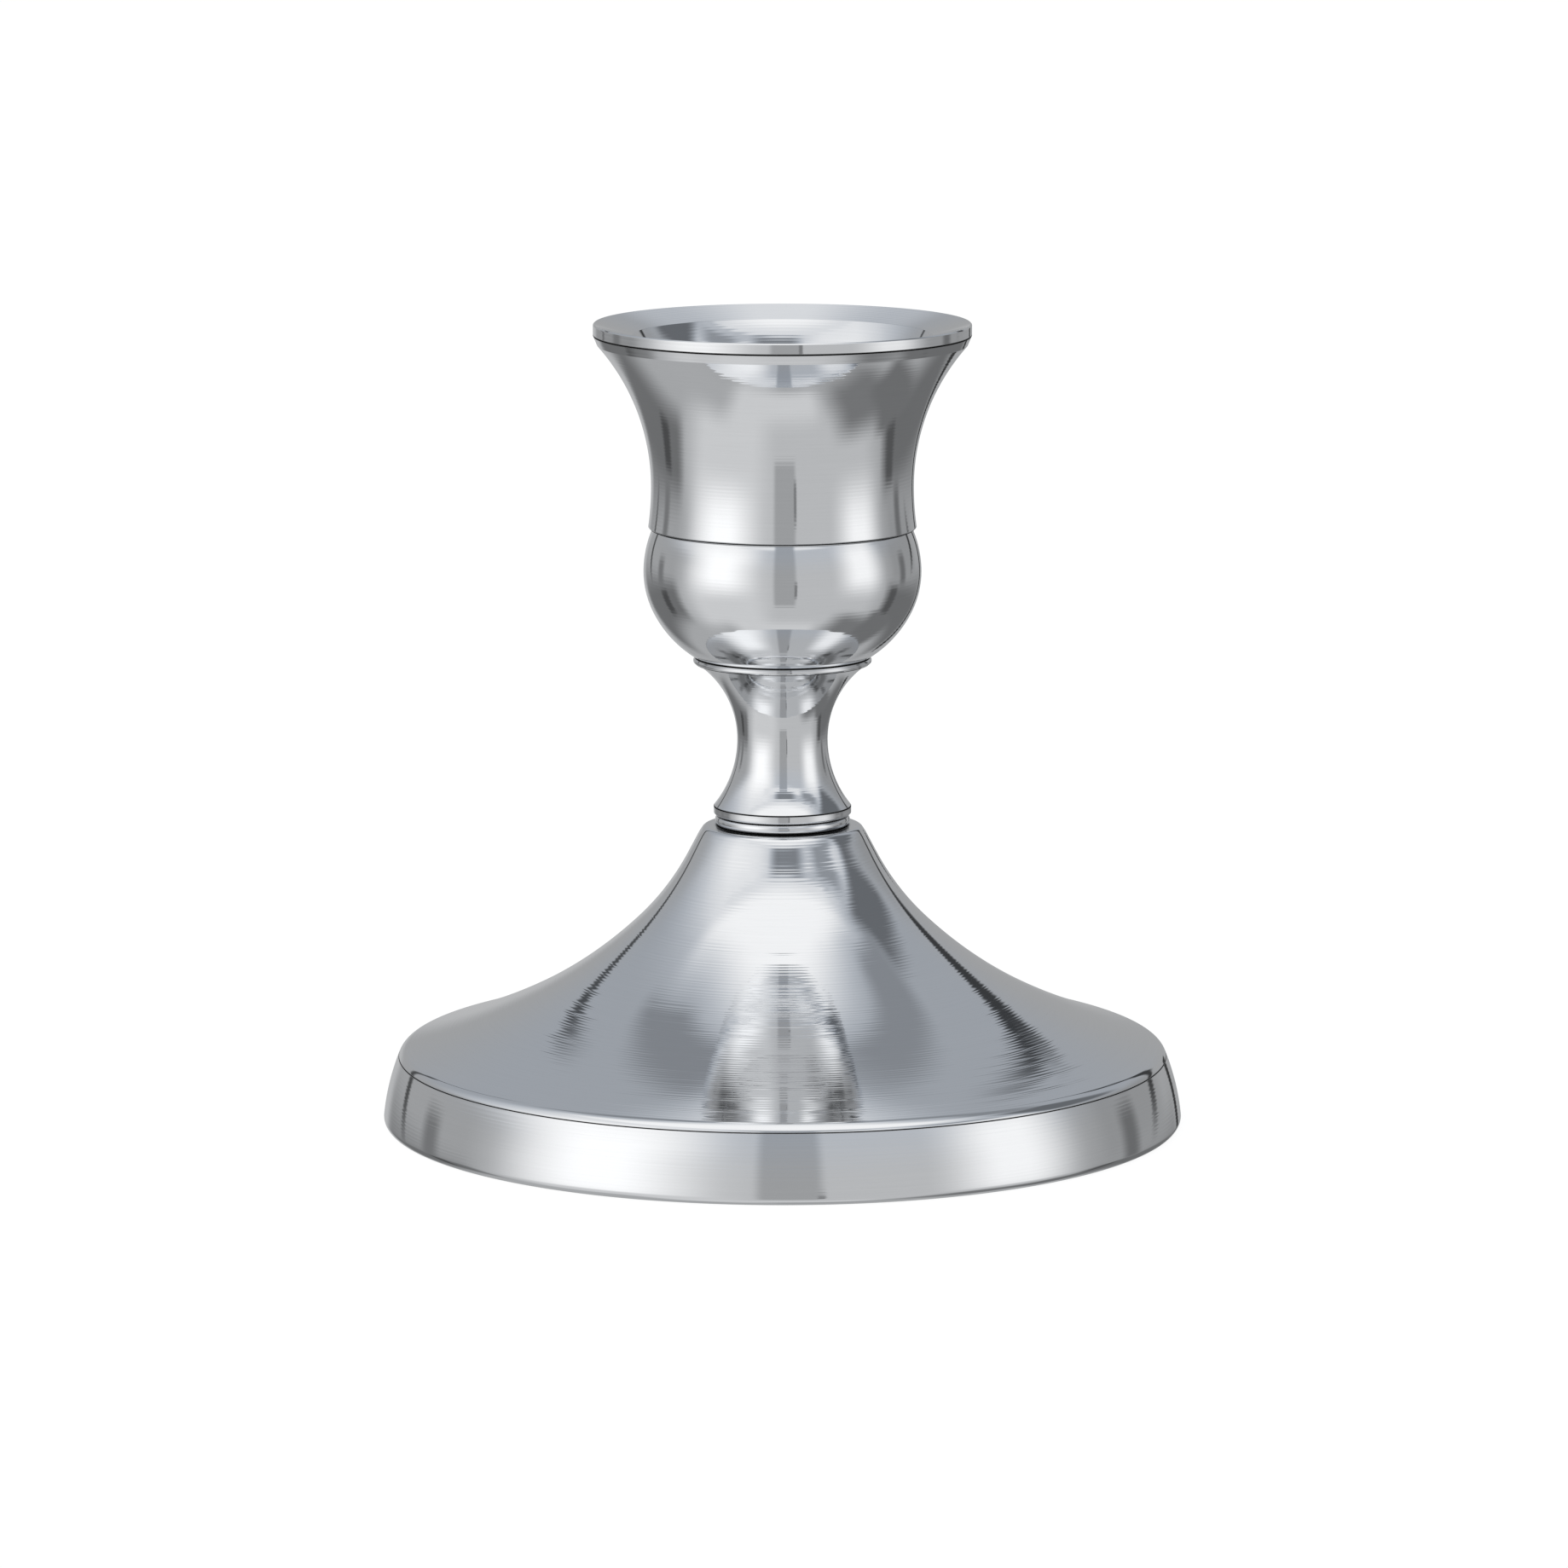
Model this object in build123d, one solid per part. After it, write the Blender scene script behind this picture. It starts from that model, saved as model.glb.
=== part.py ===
from build123d import *
import math
import os

# A short turned candlestick for one dinner candle.
# Millimetres, +Z up. The origin is on the candlestick's axis, on the surface that it stands on.
# Every piece but the screws' recesses and the spring washer's split is turned about Z.
# An outline is drawn in the r-z half plane: x is the radius and y is the height.

# ---- driving dimensions ----
HEIGHT = 77.8                 # rim of the cup above the table
FOOT_R = 38.02                # where the base's flat foot meets its rounded lip
NECK_Z = 29.1                 # flat top of the base
FOOT_BAND_Z = 30.2            # underside of the stem
BEAD_Z = 45.5                 # top of the stem's flange, where the bulb sits
SEAM_Z = 58.0                 # top of the bulb, where the cup sits
SOCKET_FLOOR_Z = 56.0         # floor of the candle socket
SOCKET_R = 11.25              # takes a dinner candle 22.2 mm across, with 0.15 mm all round

SHEET = 1.0                   # thickness of the spun base
FIT = 0.05                    # radial running clearance, stem on screw and ring on stem
REGISTER_FIT = 0.03           # radial clearance of a register that keeps two pieces in line
CLEARANCE_HOLE_R = 2.75       # hole that an M5 screw passes

# ---- M5 screws and washers ----
THREAD_R = 2.5
TIP_CHAMFER = 0.4
TAPPED_R = THREAD_R + FIT
WASHER_R = 5.0
WASHER_THICK = 1.0
LOCK_WASHER_R = 4.6
LOCK_WASHER_THICK = 1.2
LOCK_WASHER_HOLE_R = 2.6
LOCK_WASHER_SPLIT = 0.8
LOCK_WASHER_LEAN = 20         # degrees that the split leans from upright
PAN_HEAD_R = 4.75
PAN_HEAD_HEIGHT = 3.7
PAN_HEAD_CROWN = 1.2          # height of the domed part of the head
BASE_SCREW_LENGTH = 12.0
SINK_HEAD_R = 4.6
SINK_HEAD_EDGE = 0.2          # upright edge of the countersunk head
SINK_DEPTH = 0.2              # head below the socket's floor
CUP_SCREW_LENGTH = 16.0       # with its head
RECESS_LENGTH = 4.6           # cross recess in both heads
RECESS_WIDTH = 1.0
RECESS_DEPTH = 1.6

# ---- base ----
FLANGE_INNER_R = 33.5
LIP_R = 0.75
LIP_TURN = 96.3
BAND_R = 21.5
BAND_TURN = 17.4
CREASE_R = 0.35
CREASE_TURN = 49.9
SKIRT_BENDS = ((69.0, -10.8), (45.5, -16.6), (25.5, -18.5))   # radius, turn in degrees
CONE_LENGTH = 2.3
NECK_EDGE_R = 7.6
PLATE_R = 37.3
PLATE_THICK = 1.0
ACCESS_HOLE_R = 9.0           # for the screwdriver that reaches the base screw
PAD_R = 33.0
PAD_GAP = 0.2                 # the baize clears the table by this

# ---- neck ring and stem ----
RING_BEAD_R = 6.52
RING_FACE_R = 5.97
SPIGOT_R = 3.7
SPIGOT_GAP = 0.25             # between the spigot's end and the base
BAND_FOOT_R = 6.65
BAND_EDGE = 0.15
BAND_HEIGHT = 0.65
WAIST_Z = 37.5
LOWER_COVE_R = 10.4
UPPER_COVE_R = 9.1
BEAD_R = 8.6
BEAD_THICK = 0.6
BEAD_EDGE = 0.2
TOP_SPIGOT_R = 4.0
TOP_SPIGOT_HEIGHT = 1.4

# ---- bulb and cup ----
BULB_EDGE_R = 8.39
BULB_EDGE = 0.05
BULB_HEADING = 31.2
BULB_BENDS = ((10.8, 31.8), (8.8, 31.1), (10.7, 19.3))
BULB_SHOULDER_R = 12.45
CUP_FOOT_R = 12.7
CUP_EDGE = 0.2
CUP_HEADING = 98.0
CUP_BENDS = ((28.0, -8.0), (20.75, -41.2))
CUP_BOSS_R = 12.0
CUP_FLOOR = 2.6
RIM_R = 18.15
RIM_BAND = 1.1
RIM_EDGE = 0.12
RIM_INNER_R = 14.4
RIM_INNER_DROP = 1.15
MOUTH_R = 20.0                # radius of the flare from the socket to the rim


def trail(start, heading, steps):
    """Arcs and straights, each tangent to the last. A step is (radius, turn) or (length, 0)."""
    edges = []
    point = Vector(*start)
    for size, turn in steps:
        tangent = Vector(math.cos(math.radians(heading)), math.sin(math.radians(heading)))
        if turn:
            edges.append(JernArc(point, tangent, size, turn))
        else:
            edges.append(Line(point, point + tangent * size))
        heading += turn
        point = edges[-1] @ 1
    return edges


def outline(edges, *points):
    """The closed wire of edges whose ends are joined by straights through points."""
    return Wire(edges + list(Polyline(edges[-1] @ 1, *points, edges[0] @ 0).edges()))


def turned(wire):
    """The solid that a closed outline sweeps about Z."""
    return revolve(Plane.XZ * Face(wire), Axis.Z, 360)


def turned_polygon(*points):
    """The turned solid whose outline has straight sides only."""
    return turned(Wire(Polyline(*points, close=True).edges()))


def cross_recess(floor_z, top_z):
    """Two crossed slots, to be cut from a screw's head."""
    middle = (floor_z + top_z) / 2
    slot = Box(RECESS_LENGTH, RECESS_WIDTH, top_z - floor_z)
    return Pos(0, 0, middle) * (slot + Rot(0, 0, 90) * slot)


def base_shell():
    """Spun bell: rolled-in flange, rounded lip, flared rim band, crease, hollow skirt and flat neck."""
    steps = [(FOOT_R - FLANGE_INNER_R, 0), (LIP_R, LIP_TURN), (BAND_R, BAND_TURN)]
    steps += [(CREASE_R, CREASE_TURN), *SKIRT_BENDS, (CONE_LENGTH, 0)]
    outer = trail((FLANGE_INNER_R, 0), 0, steps)
    neck = Polyline(outer[-1] @ 1, (NECK_EDGE_R, NECK_Z), (CLEARANCE_HOLE_R, NECK_Z))
    skin = Wire(outer + list(neck.edges()))
    return turned(skin.offset_2d(SHEET, kind=Kind.INTERSECTION, side=Side.LEFT))


def base_plate():
    """Flat ring held in the rolled edge, on top of its flange."""
    top = SHEET + PLATE_THICK
    return turned_polygon((ACCESS_HOLE_R, SHEET), (PLATE_R, SHEET), (PLATE_R, top), (ACCESS_HOLE_R, top))


def base_pad():
    """Baize ring under the plate, inside the flange."""
    corners = ((ACCESS_HOLE_R, PAD_GAP), (PAD_R, PAD_GAP), (PAD_R, SHEET), (ACCESS_HOLE_R, SHEET))
    return turned_polygon(*corners)


def base_washer():
    """Plain washer against the underside of the neck."""
    top = NECK_Z - SHEET
    low = top - WASHER_THICK
    corners = ((CLEARANCE_HOLE_R, low), (WASHER_R, low), (WASHER_R, top), (CLEARANCE_HOLE_R, top))
    return turned_polygon(*corners)


def lock_washer():
    """Split spring washer, closed flat under load."""
    top = NECK_Z - SHEET - WASHER_THICK
    low = top - LOCK_WASHER_THICK
    hole, rim = LOCK_WASHER_HOLE_R, LOCK_WASHER_R
    ring = turned_polygon((hole, low), (rim, low), (rim, top), (hole, top))
    split = Box(LOCK_WASHER_R, LOCK_WASHER_SPLIT, 4 * LOCK_WASHER_THICK)
    middle = (low + top) / 2
    return ring - Pos(LOCK_WASHER_R / 2 + 1, 0, middle) * Rot(LOCK_WASHER_LEAN, 0, 0) * split


def base_screw():
    """Pan head screw that stands up through the base, head down."""
    seat = NECK_Z - SHEET - WASHER_THICK - LOCK_WASHER_THICK
    bottom = seat - PAN_HEAD_HEIGHT
    tip = seat + BASE_SCREW_LENGTH
    crown = SagittaArc((0, bottom), (PAN_HEAD_R, bottom + PAN_HEAD_CROWN), -PAN_HEAD_CROWN / 4)
    shank_end = ((THREAD_R, tip - TIP_CHAMFER), (THREAD_R - TIP_CHAMFER, tip), (0, tip))
    blank = turned(outline([crown], (PAN_HEAD_R, seat), (THREAD_R, seat), *shank_end))
    return blank - cross_recess(bottom - 1, bottom + RECESS_DEPTH)


def sink_heights():
    """Heights of the countersunk head's top and edge. Its cone leans at 45 degrees."""
    top = SOCKET_FLOOR_Z - SINK_DEPTH
    return top, top - SINK_HEAD_EDGE


def cup_screw():
    """Countersunk screw in the socket's floor, down into the stem."""
    top, edge = sink_heights()
    neck = edge - (SINK_HEAD_R - THREAD_R)
    tip = top - CUP_SCREW_LENGTH
    blank = turned_polygon(
        (0, tip), (THREAD_R - TIP_CHAMFER, tip), (THREAD_R, tip + TIP_CHAMFER),
        (THREAD_R, neck), (SINK_HEAD_R, edge), (SINK_HEAD_R, top), (0, top),
    )
    return blank - cross_recess(top - RECESS_DEPTH, top + 1)


def neck_ring():
    """Spacer ring with a half-round edge, loose on the stem's spigot."""
    middle = (NECK_Z + FOOT_BAND_Z) / 2
    bead = ThreePointArc((RING_FACE_R, NECK_Z), (RING_BEAD_R, middle), (RING_FACE_R, FOOT_BAND_Z))
    hole = SPIGOT_R + FIT
    return turned(outline([bead], (hole, FOOT_BAND_Z), (hole, NECK_Z)))


def stem():
    """Waisted stem, tapped right through, with a spigot at each end and a flange under the bulb."""
    band_top = FOOT_BAND_Z + BAND_EDGE + BAND_HEIGHT
    lower_turn = math.degrees(math.asin((WAIST_Z - band_top) / LOWER_COVE_R))
    flange_low = BEAD_Z - BEAD_THICK
    upper_turn = math.degrees(math.asin((flange_low - WAIST_Z) / UPPER_COVE_R))
    waist_r = BAND_FOOT_R - LOWER_COVE_R * (1 - math.cos(math.radians(lower_turn)))
    coves = trail((waist_r, WAIST_Z), 90, [(UPPER_COVE_R, -upper_turn)])
    lower = JernArc((waist_r, WAIST_Z), (0, -1), LOWER_COVE_R, lower_turn)
    spigot_low = NECK_Z + SPIGOT_GAP
    spigot_top = BEAD_Z + TOP_SPIGOT_HEIGHT
    upper_end = [
        (BEAD_R - BEAD_EDGE, flange_low), (BEAD_R, flange_low + BEAD_EDGE),
        (BEAD_R, BEAD_Z - BEAD_EDGE), (BEAD_R - BEAD_EDGE, BEAD_Z),
        (TOP_SPIGOT_R, BEAD_Z), (TOP_SPIGOT_R, spigot_top), (TAPPED_R, spigot_top),
    ]
    lower_end = [
        (TAPPED_R, spigot_low), (SPIGOT_R, spigot_low), (SPIGOT_R, FOOT_BAND_Z),
        (BAND_FOOT_R - BAND_EDGE, FOOT_BAND_Z), (BAND_FOOT_R, FOOT_BAND_Z + BAND_EDGE),
    ]
    closing = Polyline(coves[-1] @ 1, *upper_end, *lower_end, lower @ 1)
    return turned(Wire([lower] + coves + list(closing.edges())))


def bulb():
    """Round bowl: the cup's boss drops into it from above and the stem's spigot from below."""
    rise = trail((BULB_EDGE_R, BEAD_Z + BULB_EDGE), BULB_HEADING, BULB_BENDS)
    boss_z = SOCKET_FLOOR_Z - CUP_FLOOR
    recess_r = CUP_BOSS_R + REGISTER_FIT
    spigot_r = TOP_SPIGOT_R + REGISTER_FIT
    spigot_z = BEAD_Z + TOP_SPIGOT_HEIGHT + FIT
    return turned(outline(
        rise, (BULB_SHOULDER_R, SEAM_Z), (recess_r, SEAM_Z), (recess_r, boss_z),
        (CLEARANCE_HOLE_R, boss_z), (CLEARANCE_HOLE_R, spigot_z), (spigot_r, spigot_z),
        (spigot_r, BEAD_Z), (BULB_EDGE_R - BULB_EDGE, BEAD_Z),
    ))


def candle_cup():
    """Flared cup: a boss inside the bulb, a waist, a banded rim and a socket with a trumpet mouth."""
    flare = trail((CUP_FOOT_R + CUP_EDGE, SEAM_Z + CUP_EDGE), CUP_HEADING, CUP_BENDS)
    inner_z = HEIGHT - RIM_INNER_DROP
    mouth_turn = math.degrees(math.acos(1 - (RIM_INNER_R - SOCKET_R) / MOUTH_R))
    mouth_z = inner_z - MOUTH_R * math.sin(math.radians(mouth_turn))
    mouth = JernArc((SOCKET_R, mouth_z), (0, 1), MOUTH_R, -mouth_turn)
    rim = Polyline(
        flare[-1] @ 1, (RIM_R, HEIGHT - RIM_BAND), (RIM_R, HEIGHT - RIM_EDGE),
        (RIM_R - RIM_EDGE, HEIGHT), mouth @ 1,
    )
    boss_z = SOCKET_FLOOR_Z - CUP_FLOOR
    sink_r = SINK_HEAD_R + FIT
    edge = sink_heights()[1]
    inside = Polyline(
        mouth @ 0, (SOCKET_R, SOCKET_FLOOR_Z), (sink_r, SOCKET_FLOOR_Z), (sink_r, edge),
        (CLEARANCE_HOLE_R, edge - (sink_r - CLEARANCE_HOLE_R)), (CLEARANCE_HOLE_R, boss_z),
        (CUP_BOSS_R, boss_z), (CUP_BOSS_R, SEAM_Z), (CUP_FOOT_R, SEAM_Z), flare[0] @ 0,
    )
    return turned(Wire(flare + list(rim.edges()) + [mouth] + list(inside.edges())))


PIECES = (
    base_shell, base_plate, base_pad, base_washer, lock_washer, base_screw,
    neck_ring, stem, bulb, candle_cup, cup_screw,
)

os.makedirs("parts", exist_ok=True)
for piece in PIECES:
    export_step(piece(), f"parts/{piece.__name__}.step")
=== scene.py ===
import math

import bmesh
import bpy
from mathutils import Matrix, Vector, noise


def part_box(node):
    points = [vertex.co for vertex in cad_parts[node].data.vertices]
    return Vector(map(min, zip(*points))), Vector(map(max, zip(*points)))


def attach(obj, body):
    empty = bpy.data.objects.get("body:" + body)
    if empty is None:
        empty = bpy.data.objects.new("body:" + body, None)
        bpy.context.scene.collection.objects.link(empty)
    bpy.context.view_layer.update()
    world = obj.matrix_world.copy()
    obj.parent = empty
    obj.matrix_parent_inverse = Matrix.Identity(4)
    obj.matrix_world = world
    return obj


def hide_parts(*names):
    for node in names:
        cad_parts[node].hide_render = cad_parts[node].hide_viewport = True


# Looks of a short turned candlestick. Outlines are in millimetres, in the r-z half plane, and
# headings and turns are in degrees. Heights come from the frame. Meshes are in metres.
# Greys and colours are as displayed, unless a name says otherwise.

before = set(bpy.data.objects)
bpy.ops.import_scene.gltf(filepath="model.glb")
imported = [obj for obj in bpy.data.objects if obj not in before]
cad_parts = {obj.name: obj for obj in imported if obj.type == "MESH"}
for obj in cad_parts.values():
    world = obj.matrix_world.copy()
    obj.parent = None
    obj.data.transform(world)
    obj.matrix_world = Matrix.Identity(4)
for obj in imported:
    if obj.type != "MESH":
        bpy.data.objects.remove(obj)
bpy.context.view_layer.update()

MM = 0.001
GAMMA = 2.2                   # display grey to light


def low(node):
    """Lowest height of a CAD node, in millimetres."""
    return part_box(node)[0].z / MM


def high(node):
    """Highest height of a CAD node, in millimetres."""
    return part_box(node)[1].z / MM


def reach(node):
    """Largest radius of a CAD node, in millimetres."""
    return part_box(node)[1].x / MM


# ---- heights and radii that the frame gives ----
FOOT_Z = low("base_shell")
NECK_Z = high("base_shell")
BAND_Z = high("neck_ring")            # underside of the stem's foot band
BEAD_Z = low("bulb")                  # top of the stem's flange
SEAM_Z = high("bulb")                 # underside of the cup's edge
RIM_Z = high("candle_cup")
RIM_R = reach("candle_cup")
RING_R = reach("neck_ring")
BEAD_R = reach("stem")
PAD_R = reach("base_pad")
PLATE_R = reach("base_plate")
BOSS_Z = low("candle_cup")
SINK_TOP_Z = high("cup_screw")
SCREW_TIP_Z = high("base_screw")

# ---- outline of the base, as in the CAD, with its crease as the spinning leaves it ----
SHEET = 1.0
FLANGE_INNER_R = 33.5
FOOT_R = 38.0                 # 0.02 less than in the CAD, so that the faces stay inside its box
SHELL_BENDS = (
    (0.75, 96.3), (21.5, 16.03), (1.4, 50.87),         # lip, band, crease
    (69.0, -10.4), (45.5, -16.6), (25.5, -18.5),       # skirt
)
CREASE_R, CREASE_Z = 37.25, FOOT_Z + 6.6       # the band's top edge
CONE_LENGTH = 2.3
NECK_EDGE_R = 7.6
ACCESS_HOLE_R = 9.0
CLEARANCE_HOLE_R = 2.75

# ---- outline of the stem ----
SPIGOT_R = 3.7
FIT = 0.05
RING_FACE_R = 5.97
BAND_FOOT_R = 6.65
BAND_EDGE = 0.15
BAND_HEIGHT = 0.65
WAIST_Z = 37.5
LOWER_COVE_R = 10.4
UPPER_COVE_R = 9.1
FLANGE_THICK = 0.6
FLANGE_EDGE = 0.2
TOP_SPIGOT_R = 4.0
TOP_SPIGOT_HEIGHT = 1.4
TAPPED_R = 2.55

# ---- outline of the bulb and the cup ----
REGISTER_FIT = 0.03
BULB_EDGE_R = 8.39
BULB_EDGE = 0.05
BULB_HEADING = 31.2
BULB_BENDS = ((10.8, 31.8), (8.8, 31.1), (10.7, 19.3))
BULB_SHOULDER_R = 12.45
CUP_FOOT_R = 12.7
CUP_EDGE = 0.2
CUP_HEADING = 98.0
CUP_BENDS = ((28.0, -8.0), (20.75, -41.2))
CUP_FLOOR = 2.6
BOSS_R = 12.0
SOCKET_R = 11.25
RIM_BAND = 1.1
RIM_EDGE = 0.12
RIM_INNER_R = 14.4
RIM_INNER_DROP = 1.15
MOUTH_R = 20.0

# ---- screws and washers ----
THREAD_R = 2.5
THREAD_PITCH = 0.8
THREAD_DEPTH = 0.43
THREAD_ROWS = 12              # rows of faces in one turn's height
THREAD_CREST = 1.35           # above 1 the crests are flat
TIP_TAPER = 0.3
SCREW_SIDES = 96
PAN_HEAD_R = 4.75
PAN_HEAD_CROWN = 1.2
PAN_HEAD_EDGE_R = 0.3
BASE_SCREW_LENGTH = 12.0
SINK_HEAD_R = 4.6
SINK_HEAD_EDGE = 0.2
SINK_HEAD_EDGE_R = 0.1
RECESS_LENGTH = 4.83
RECESS_WIDTH = 1.05
RECESS_DEPTH = 1.6
RECESS_TAPER = 0.71
CUTTER_EXCESS = 0.25          # how far the cutter stands out of the head, as a share of the depth
SLIVER = 0.0005               # thinner faces than this are cleaned away where a recess is cut
WASHER_R = 5.0
WASHER_EDGE_R = 0.15
LOCK_WASHER_R = 4.6
LOCK_WASHER_EDGE_R = 0.12
LOCK_WASHER_HOLE_R = 2.6
LOCK_WASHER_SPLIT = 0.8
LOCK_WASHER_LEAN = 20

# ---- baize ----
CLOTH_EDGE_R = 0.25
CLOTH_EDGE = 0.3              # width of the frayed edge
NAP = 0.05                    # height of the nap's waves
NAP_SCALE = 1.7
FRAY = 0.12                   # how far the cut edge wanders
FRAY_SCALE = 0.9

# ---- joints where polish and dirt gather and where shade is painted in as dark colour: radius, height, reach ----
JOINTS = (
    (CUP_FOOT_R + 0.1, SEAM_Z, 0.24),
    (BULB_EDGE_R, BEAD_Z, 0.1),
    (BEAD_R - FLANGE_EDGE, BEAD_Z - FLANGE_THICK, 0.14),
    (BAND_FOOT_R, BAND_Z + BAND_EDGE + BAND_HEIGHT, 0.12),
    (RING_FACE_R + 0.3, BAND_Z, 0.28),
    (RING_FACE_R + 0.1, NECK_Z, 0.62),
    (RIM_R, RIM_Z - RIM_BAND, 0.14),
    (SINK_HEAD_R, SINK_TOP_Z, 0.3),
    (SOCKET_R, BOSS_Z + CUP_FLOOR, 0.6),
    (CREASE_R, CREASE_Z, 0.1),
)

# ---- fineness of the meshes ----
SIDES = 256                   # faces round a turned piece
SHARP_EDGE = 35               # a sharper edge than this stays sharp on a cut piece
SPACING = 0.5                 # longest step along an outline
BEND_STEP = 2.5               # largest turn in one step of an arc
CORNER = 12.0                 # a turn sharper than this is a corner, and is rounded
CORNER_STEPS = 6
CORNER_SHARE = 0.4            # share of a straight that the rounding of its end may take
HOLD = 0.2                    # where a point holds the straight beside a rounding, as a share of it
EDGE_R = 0.07                 # rounding of machined corners
NECK_ROUND = 0.9              # rounding of the spun neck's edge
OFFSET_SLACK = 0.98           # an offset point nearer than this share of its distance is a fold
ON_AXIS = 1e-6                # a point nearer to the axis than this is on it


# ---- outlines ----
def direction(degrees):
    """Unit vector of a heading in the r-z plane."""
    return Vector((math.cos(math.radians(degrees)), math.sin(math.radians(degrees))))


def trail(start, heading, bends):
    """Points along arcs, each tangent to the last. A bend is (radius, turn), a straight (length, 0)."""
    points = [Vector(start)]
    for size, turn in bends:
        length = size * math.radians(abs(turn)) if turn else size
        steps = max(2, math.ceil(length / SPACING), math.ceil(abs(turn) / BEND_STEP))
        origin = points[-1]
        side = math.copysign(1, turn)
        middle = origin + direction(heading + 90 * side) * size
        for step in range(1, steps + 1):
            share = step / steps
            if turn:
                points.append(middle + direction(heading - 90 * side + turn * share) * size)
            else:
                points.append(origin + direction(heading) * size * share)
        heading += turn
    return points


def corners(*points):
    """Plain points of an outline."""
    return [Vector(point) for point in points]


def softened(points, radius=EDGE_R, closed=True):
    """The outline with its corners rounded, and with its long straights divided."""
    count = len(points)
    rounded = []
    for i, point in enumerate(points):
        if not closed and i in (0, count - 1):
            rounded.append(point)
            continue
        before = points[i - 1] - point
        after = points[(i + 1) % count] - point
        turn = 180 - math.degrees(before.angle(after))
        if turn < CORNER:
            rounded.append(point)
            continue
        room = CORNER_SHARE * min(before.length, after.length)
        cut = min(radius * math.tan(math.radians(turn / 2)), room)
        start = point + before.normalized() * cut
        end = point + after.normalized() * cut
        rounded.append(start + before.normalized() * cut * HOLD)
        for step in range(CORNER_STEPS + 1):
            t = step / CORNER_STEPS
            rounded.append(start * (1 - t) ** 2 + point * 2 * t * (1 - t) + end * t * t)
        rounded.append(end + after.normalized() * cut * HOLD)
    divided = []
    for i, point in enumerate(rounded):
        divided.append(point)
        if not closed and i == len(rounded) - 1:
            break
        step = rounded[(i + 1) % len(rounded)] - point
        parts = math.ceil(step.length / (2 * SPACING))
        divided += [point + step * (part / parts) for part in range(1, parts)]
    return divided


def offset_inward(points, distance):
    """Points at a distance to the left of an outline, without those where the offset folds over."""
    moved = []
    for i in range(1, len(points) - 1):
        along = (points[i + 1] - points[i - 1]).normalized()
        moved.append(points[i] + Vector((-along.y, along.x)) * distance)
    nearest = distance * OFFSET_SLACK
    return [spot for spot in moved if min((spot - point).length for point in points) > nearest]


# ---- meshes ----
def placed(name, data):
    """A new object in the scene."""
    made = bpy.data.objects.new(name, data)
    bpy.context.scene.collection.objects.link(made)
    return made


def keep_sharp(piece):
    """Shades a cut piece smooth, except across its sharp edges."""
    with bpy.context.temp_override(object=piece, selected_editable_objects=[piece]):
        bpy.ops.object.shade_smooth_by_angle(angle=math.radians(SHARP_EDGE))


def swept(point, angle):
    """Place in metres of an outline's point, turned about Z."""
    return (point.x * MM * math.cos(angle), point.x * MM * math.sin(angle), point.y * MM)


def mesh_piece(name, vertices, faces, along):
    """A smooth-shaded object. along is each vertex's distance along the outline, in millimetres."""
    mesh = bpy.data.meshes.new(name)
    mesh.from_pydata(vertices, [], faces)
    mesh.attributes.new("along", "FLOAT", "POINT").data.foreach_set("value", along)
    mesh.shade_smooth()
    mesh.validate()
    return placed(name, mesh)


def turned(name, outline, sides=SIDES, closed=True):
    """An outline swept about Z, its inside to the left. An open outline starts and ends on the axis."""
    vertices, faces, along, rings = [], [], [], []
    distance = 0.0
    for i, point in enumerate(outline):
        distance += (point - outline[i - 1]).length if i else 0.0
        pole = point.x < ON_AXIS
        first = len(vertices)
        for side in range(1 if pole else sides):
            vertices.append(swept(point, math.tau * side / sides))
            along.append(distance)
        rings.append((first, pole))
    pairs = list(zip(rings, rings[1:]))
    if closed:
        pairs.append((rings[-1], rings[0]))
    for (a, a_pole), (b, b_pole) in pairs:
        for side in range(sides):
            after = (side + 1) % sides
            if a_pole:
                faces.append((a, b + after, b + side))
            elif b_pole:
                faces.append((a + side, a + after, b))
            else:
                faces.append((a + side, a + after, b + after, b + side))
    return mesh_piece(name, vertices, faces, along)


def thread_radius(height, angle, tip):
    """Radius of a screw thread. Its crest is flattened and it tapers over the last turn to the tip."""
    turns = (height / THREAD_PITCH - angle / math.tau) % 1.0
    ridge = min(1.0, THREAD_CREST * abs(2 * turns - 1))
    fade = min(1.0, abs(tip - height) / THREAD_PITCH)
    return THREAD_R - THREAD_DEPTH * (1 - ridge) - TIP_TAPER * (1 - fade) ** 2


def screw(name, head, seat, tip):
    """A screw: the open outline of its head, from the axis to the shank, and a thread to the tip."""
    rows = math.ceil(abs(tip - seat) / THREAD_PITCH * THREAD_ROWS)
    outline = list(head)
    shank_start = len(outline)
    for row in range(1, rows + 1):
        outline.append(Vector((THREAD_R, seat + (tip - seat) * row / rows)))
    outline.append(Vector((0, tip)))
    piece = turned(name, outline, SCREW_SIDES, closed=False)
    for vertex in piece.data.vertices:
        ring = (vertex.index - 1) // SCREW_SIDES + 1
        if shank_start <= ring < shank_start + rows:
            angle = math.atan2(vertex.co.y, vertex.co.x)
            radius = thread_radius(vertex.co.z / MM, angle, tip) * MM
            scale = radius / math.hypot(vertex.co.x, vertex.co.y)
            vertex.co.x *= scale
            vertex.co.y *= scale
    if tip < seat:
        piece.data.flip_normals()
    return piece


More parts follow.
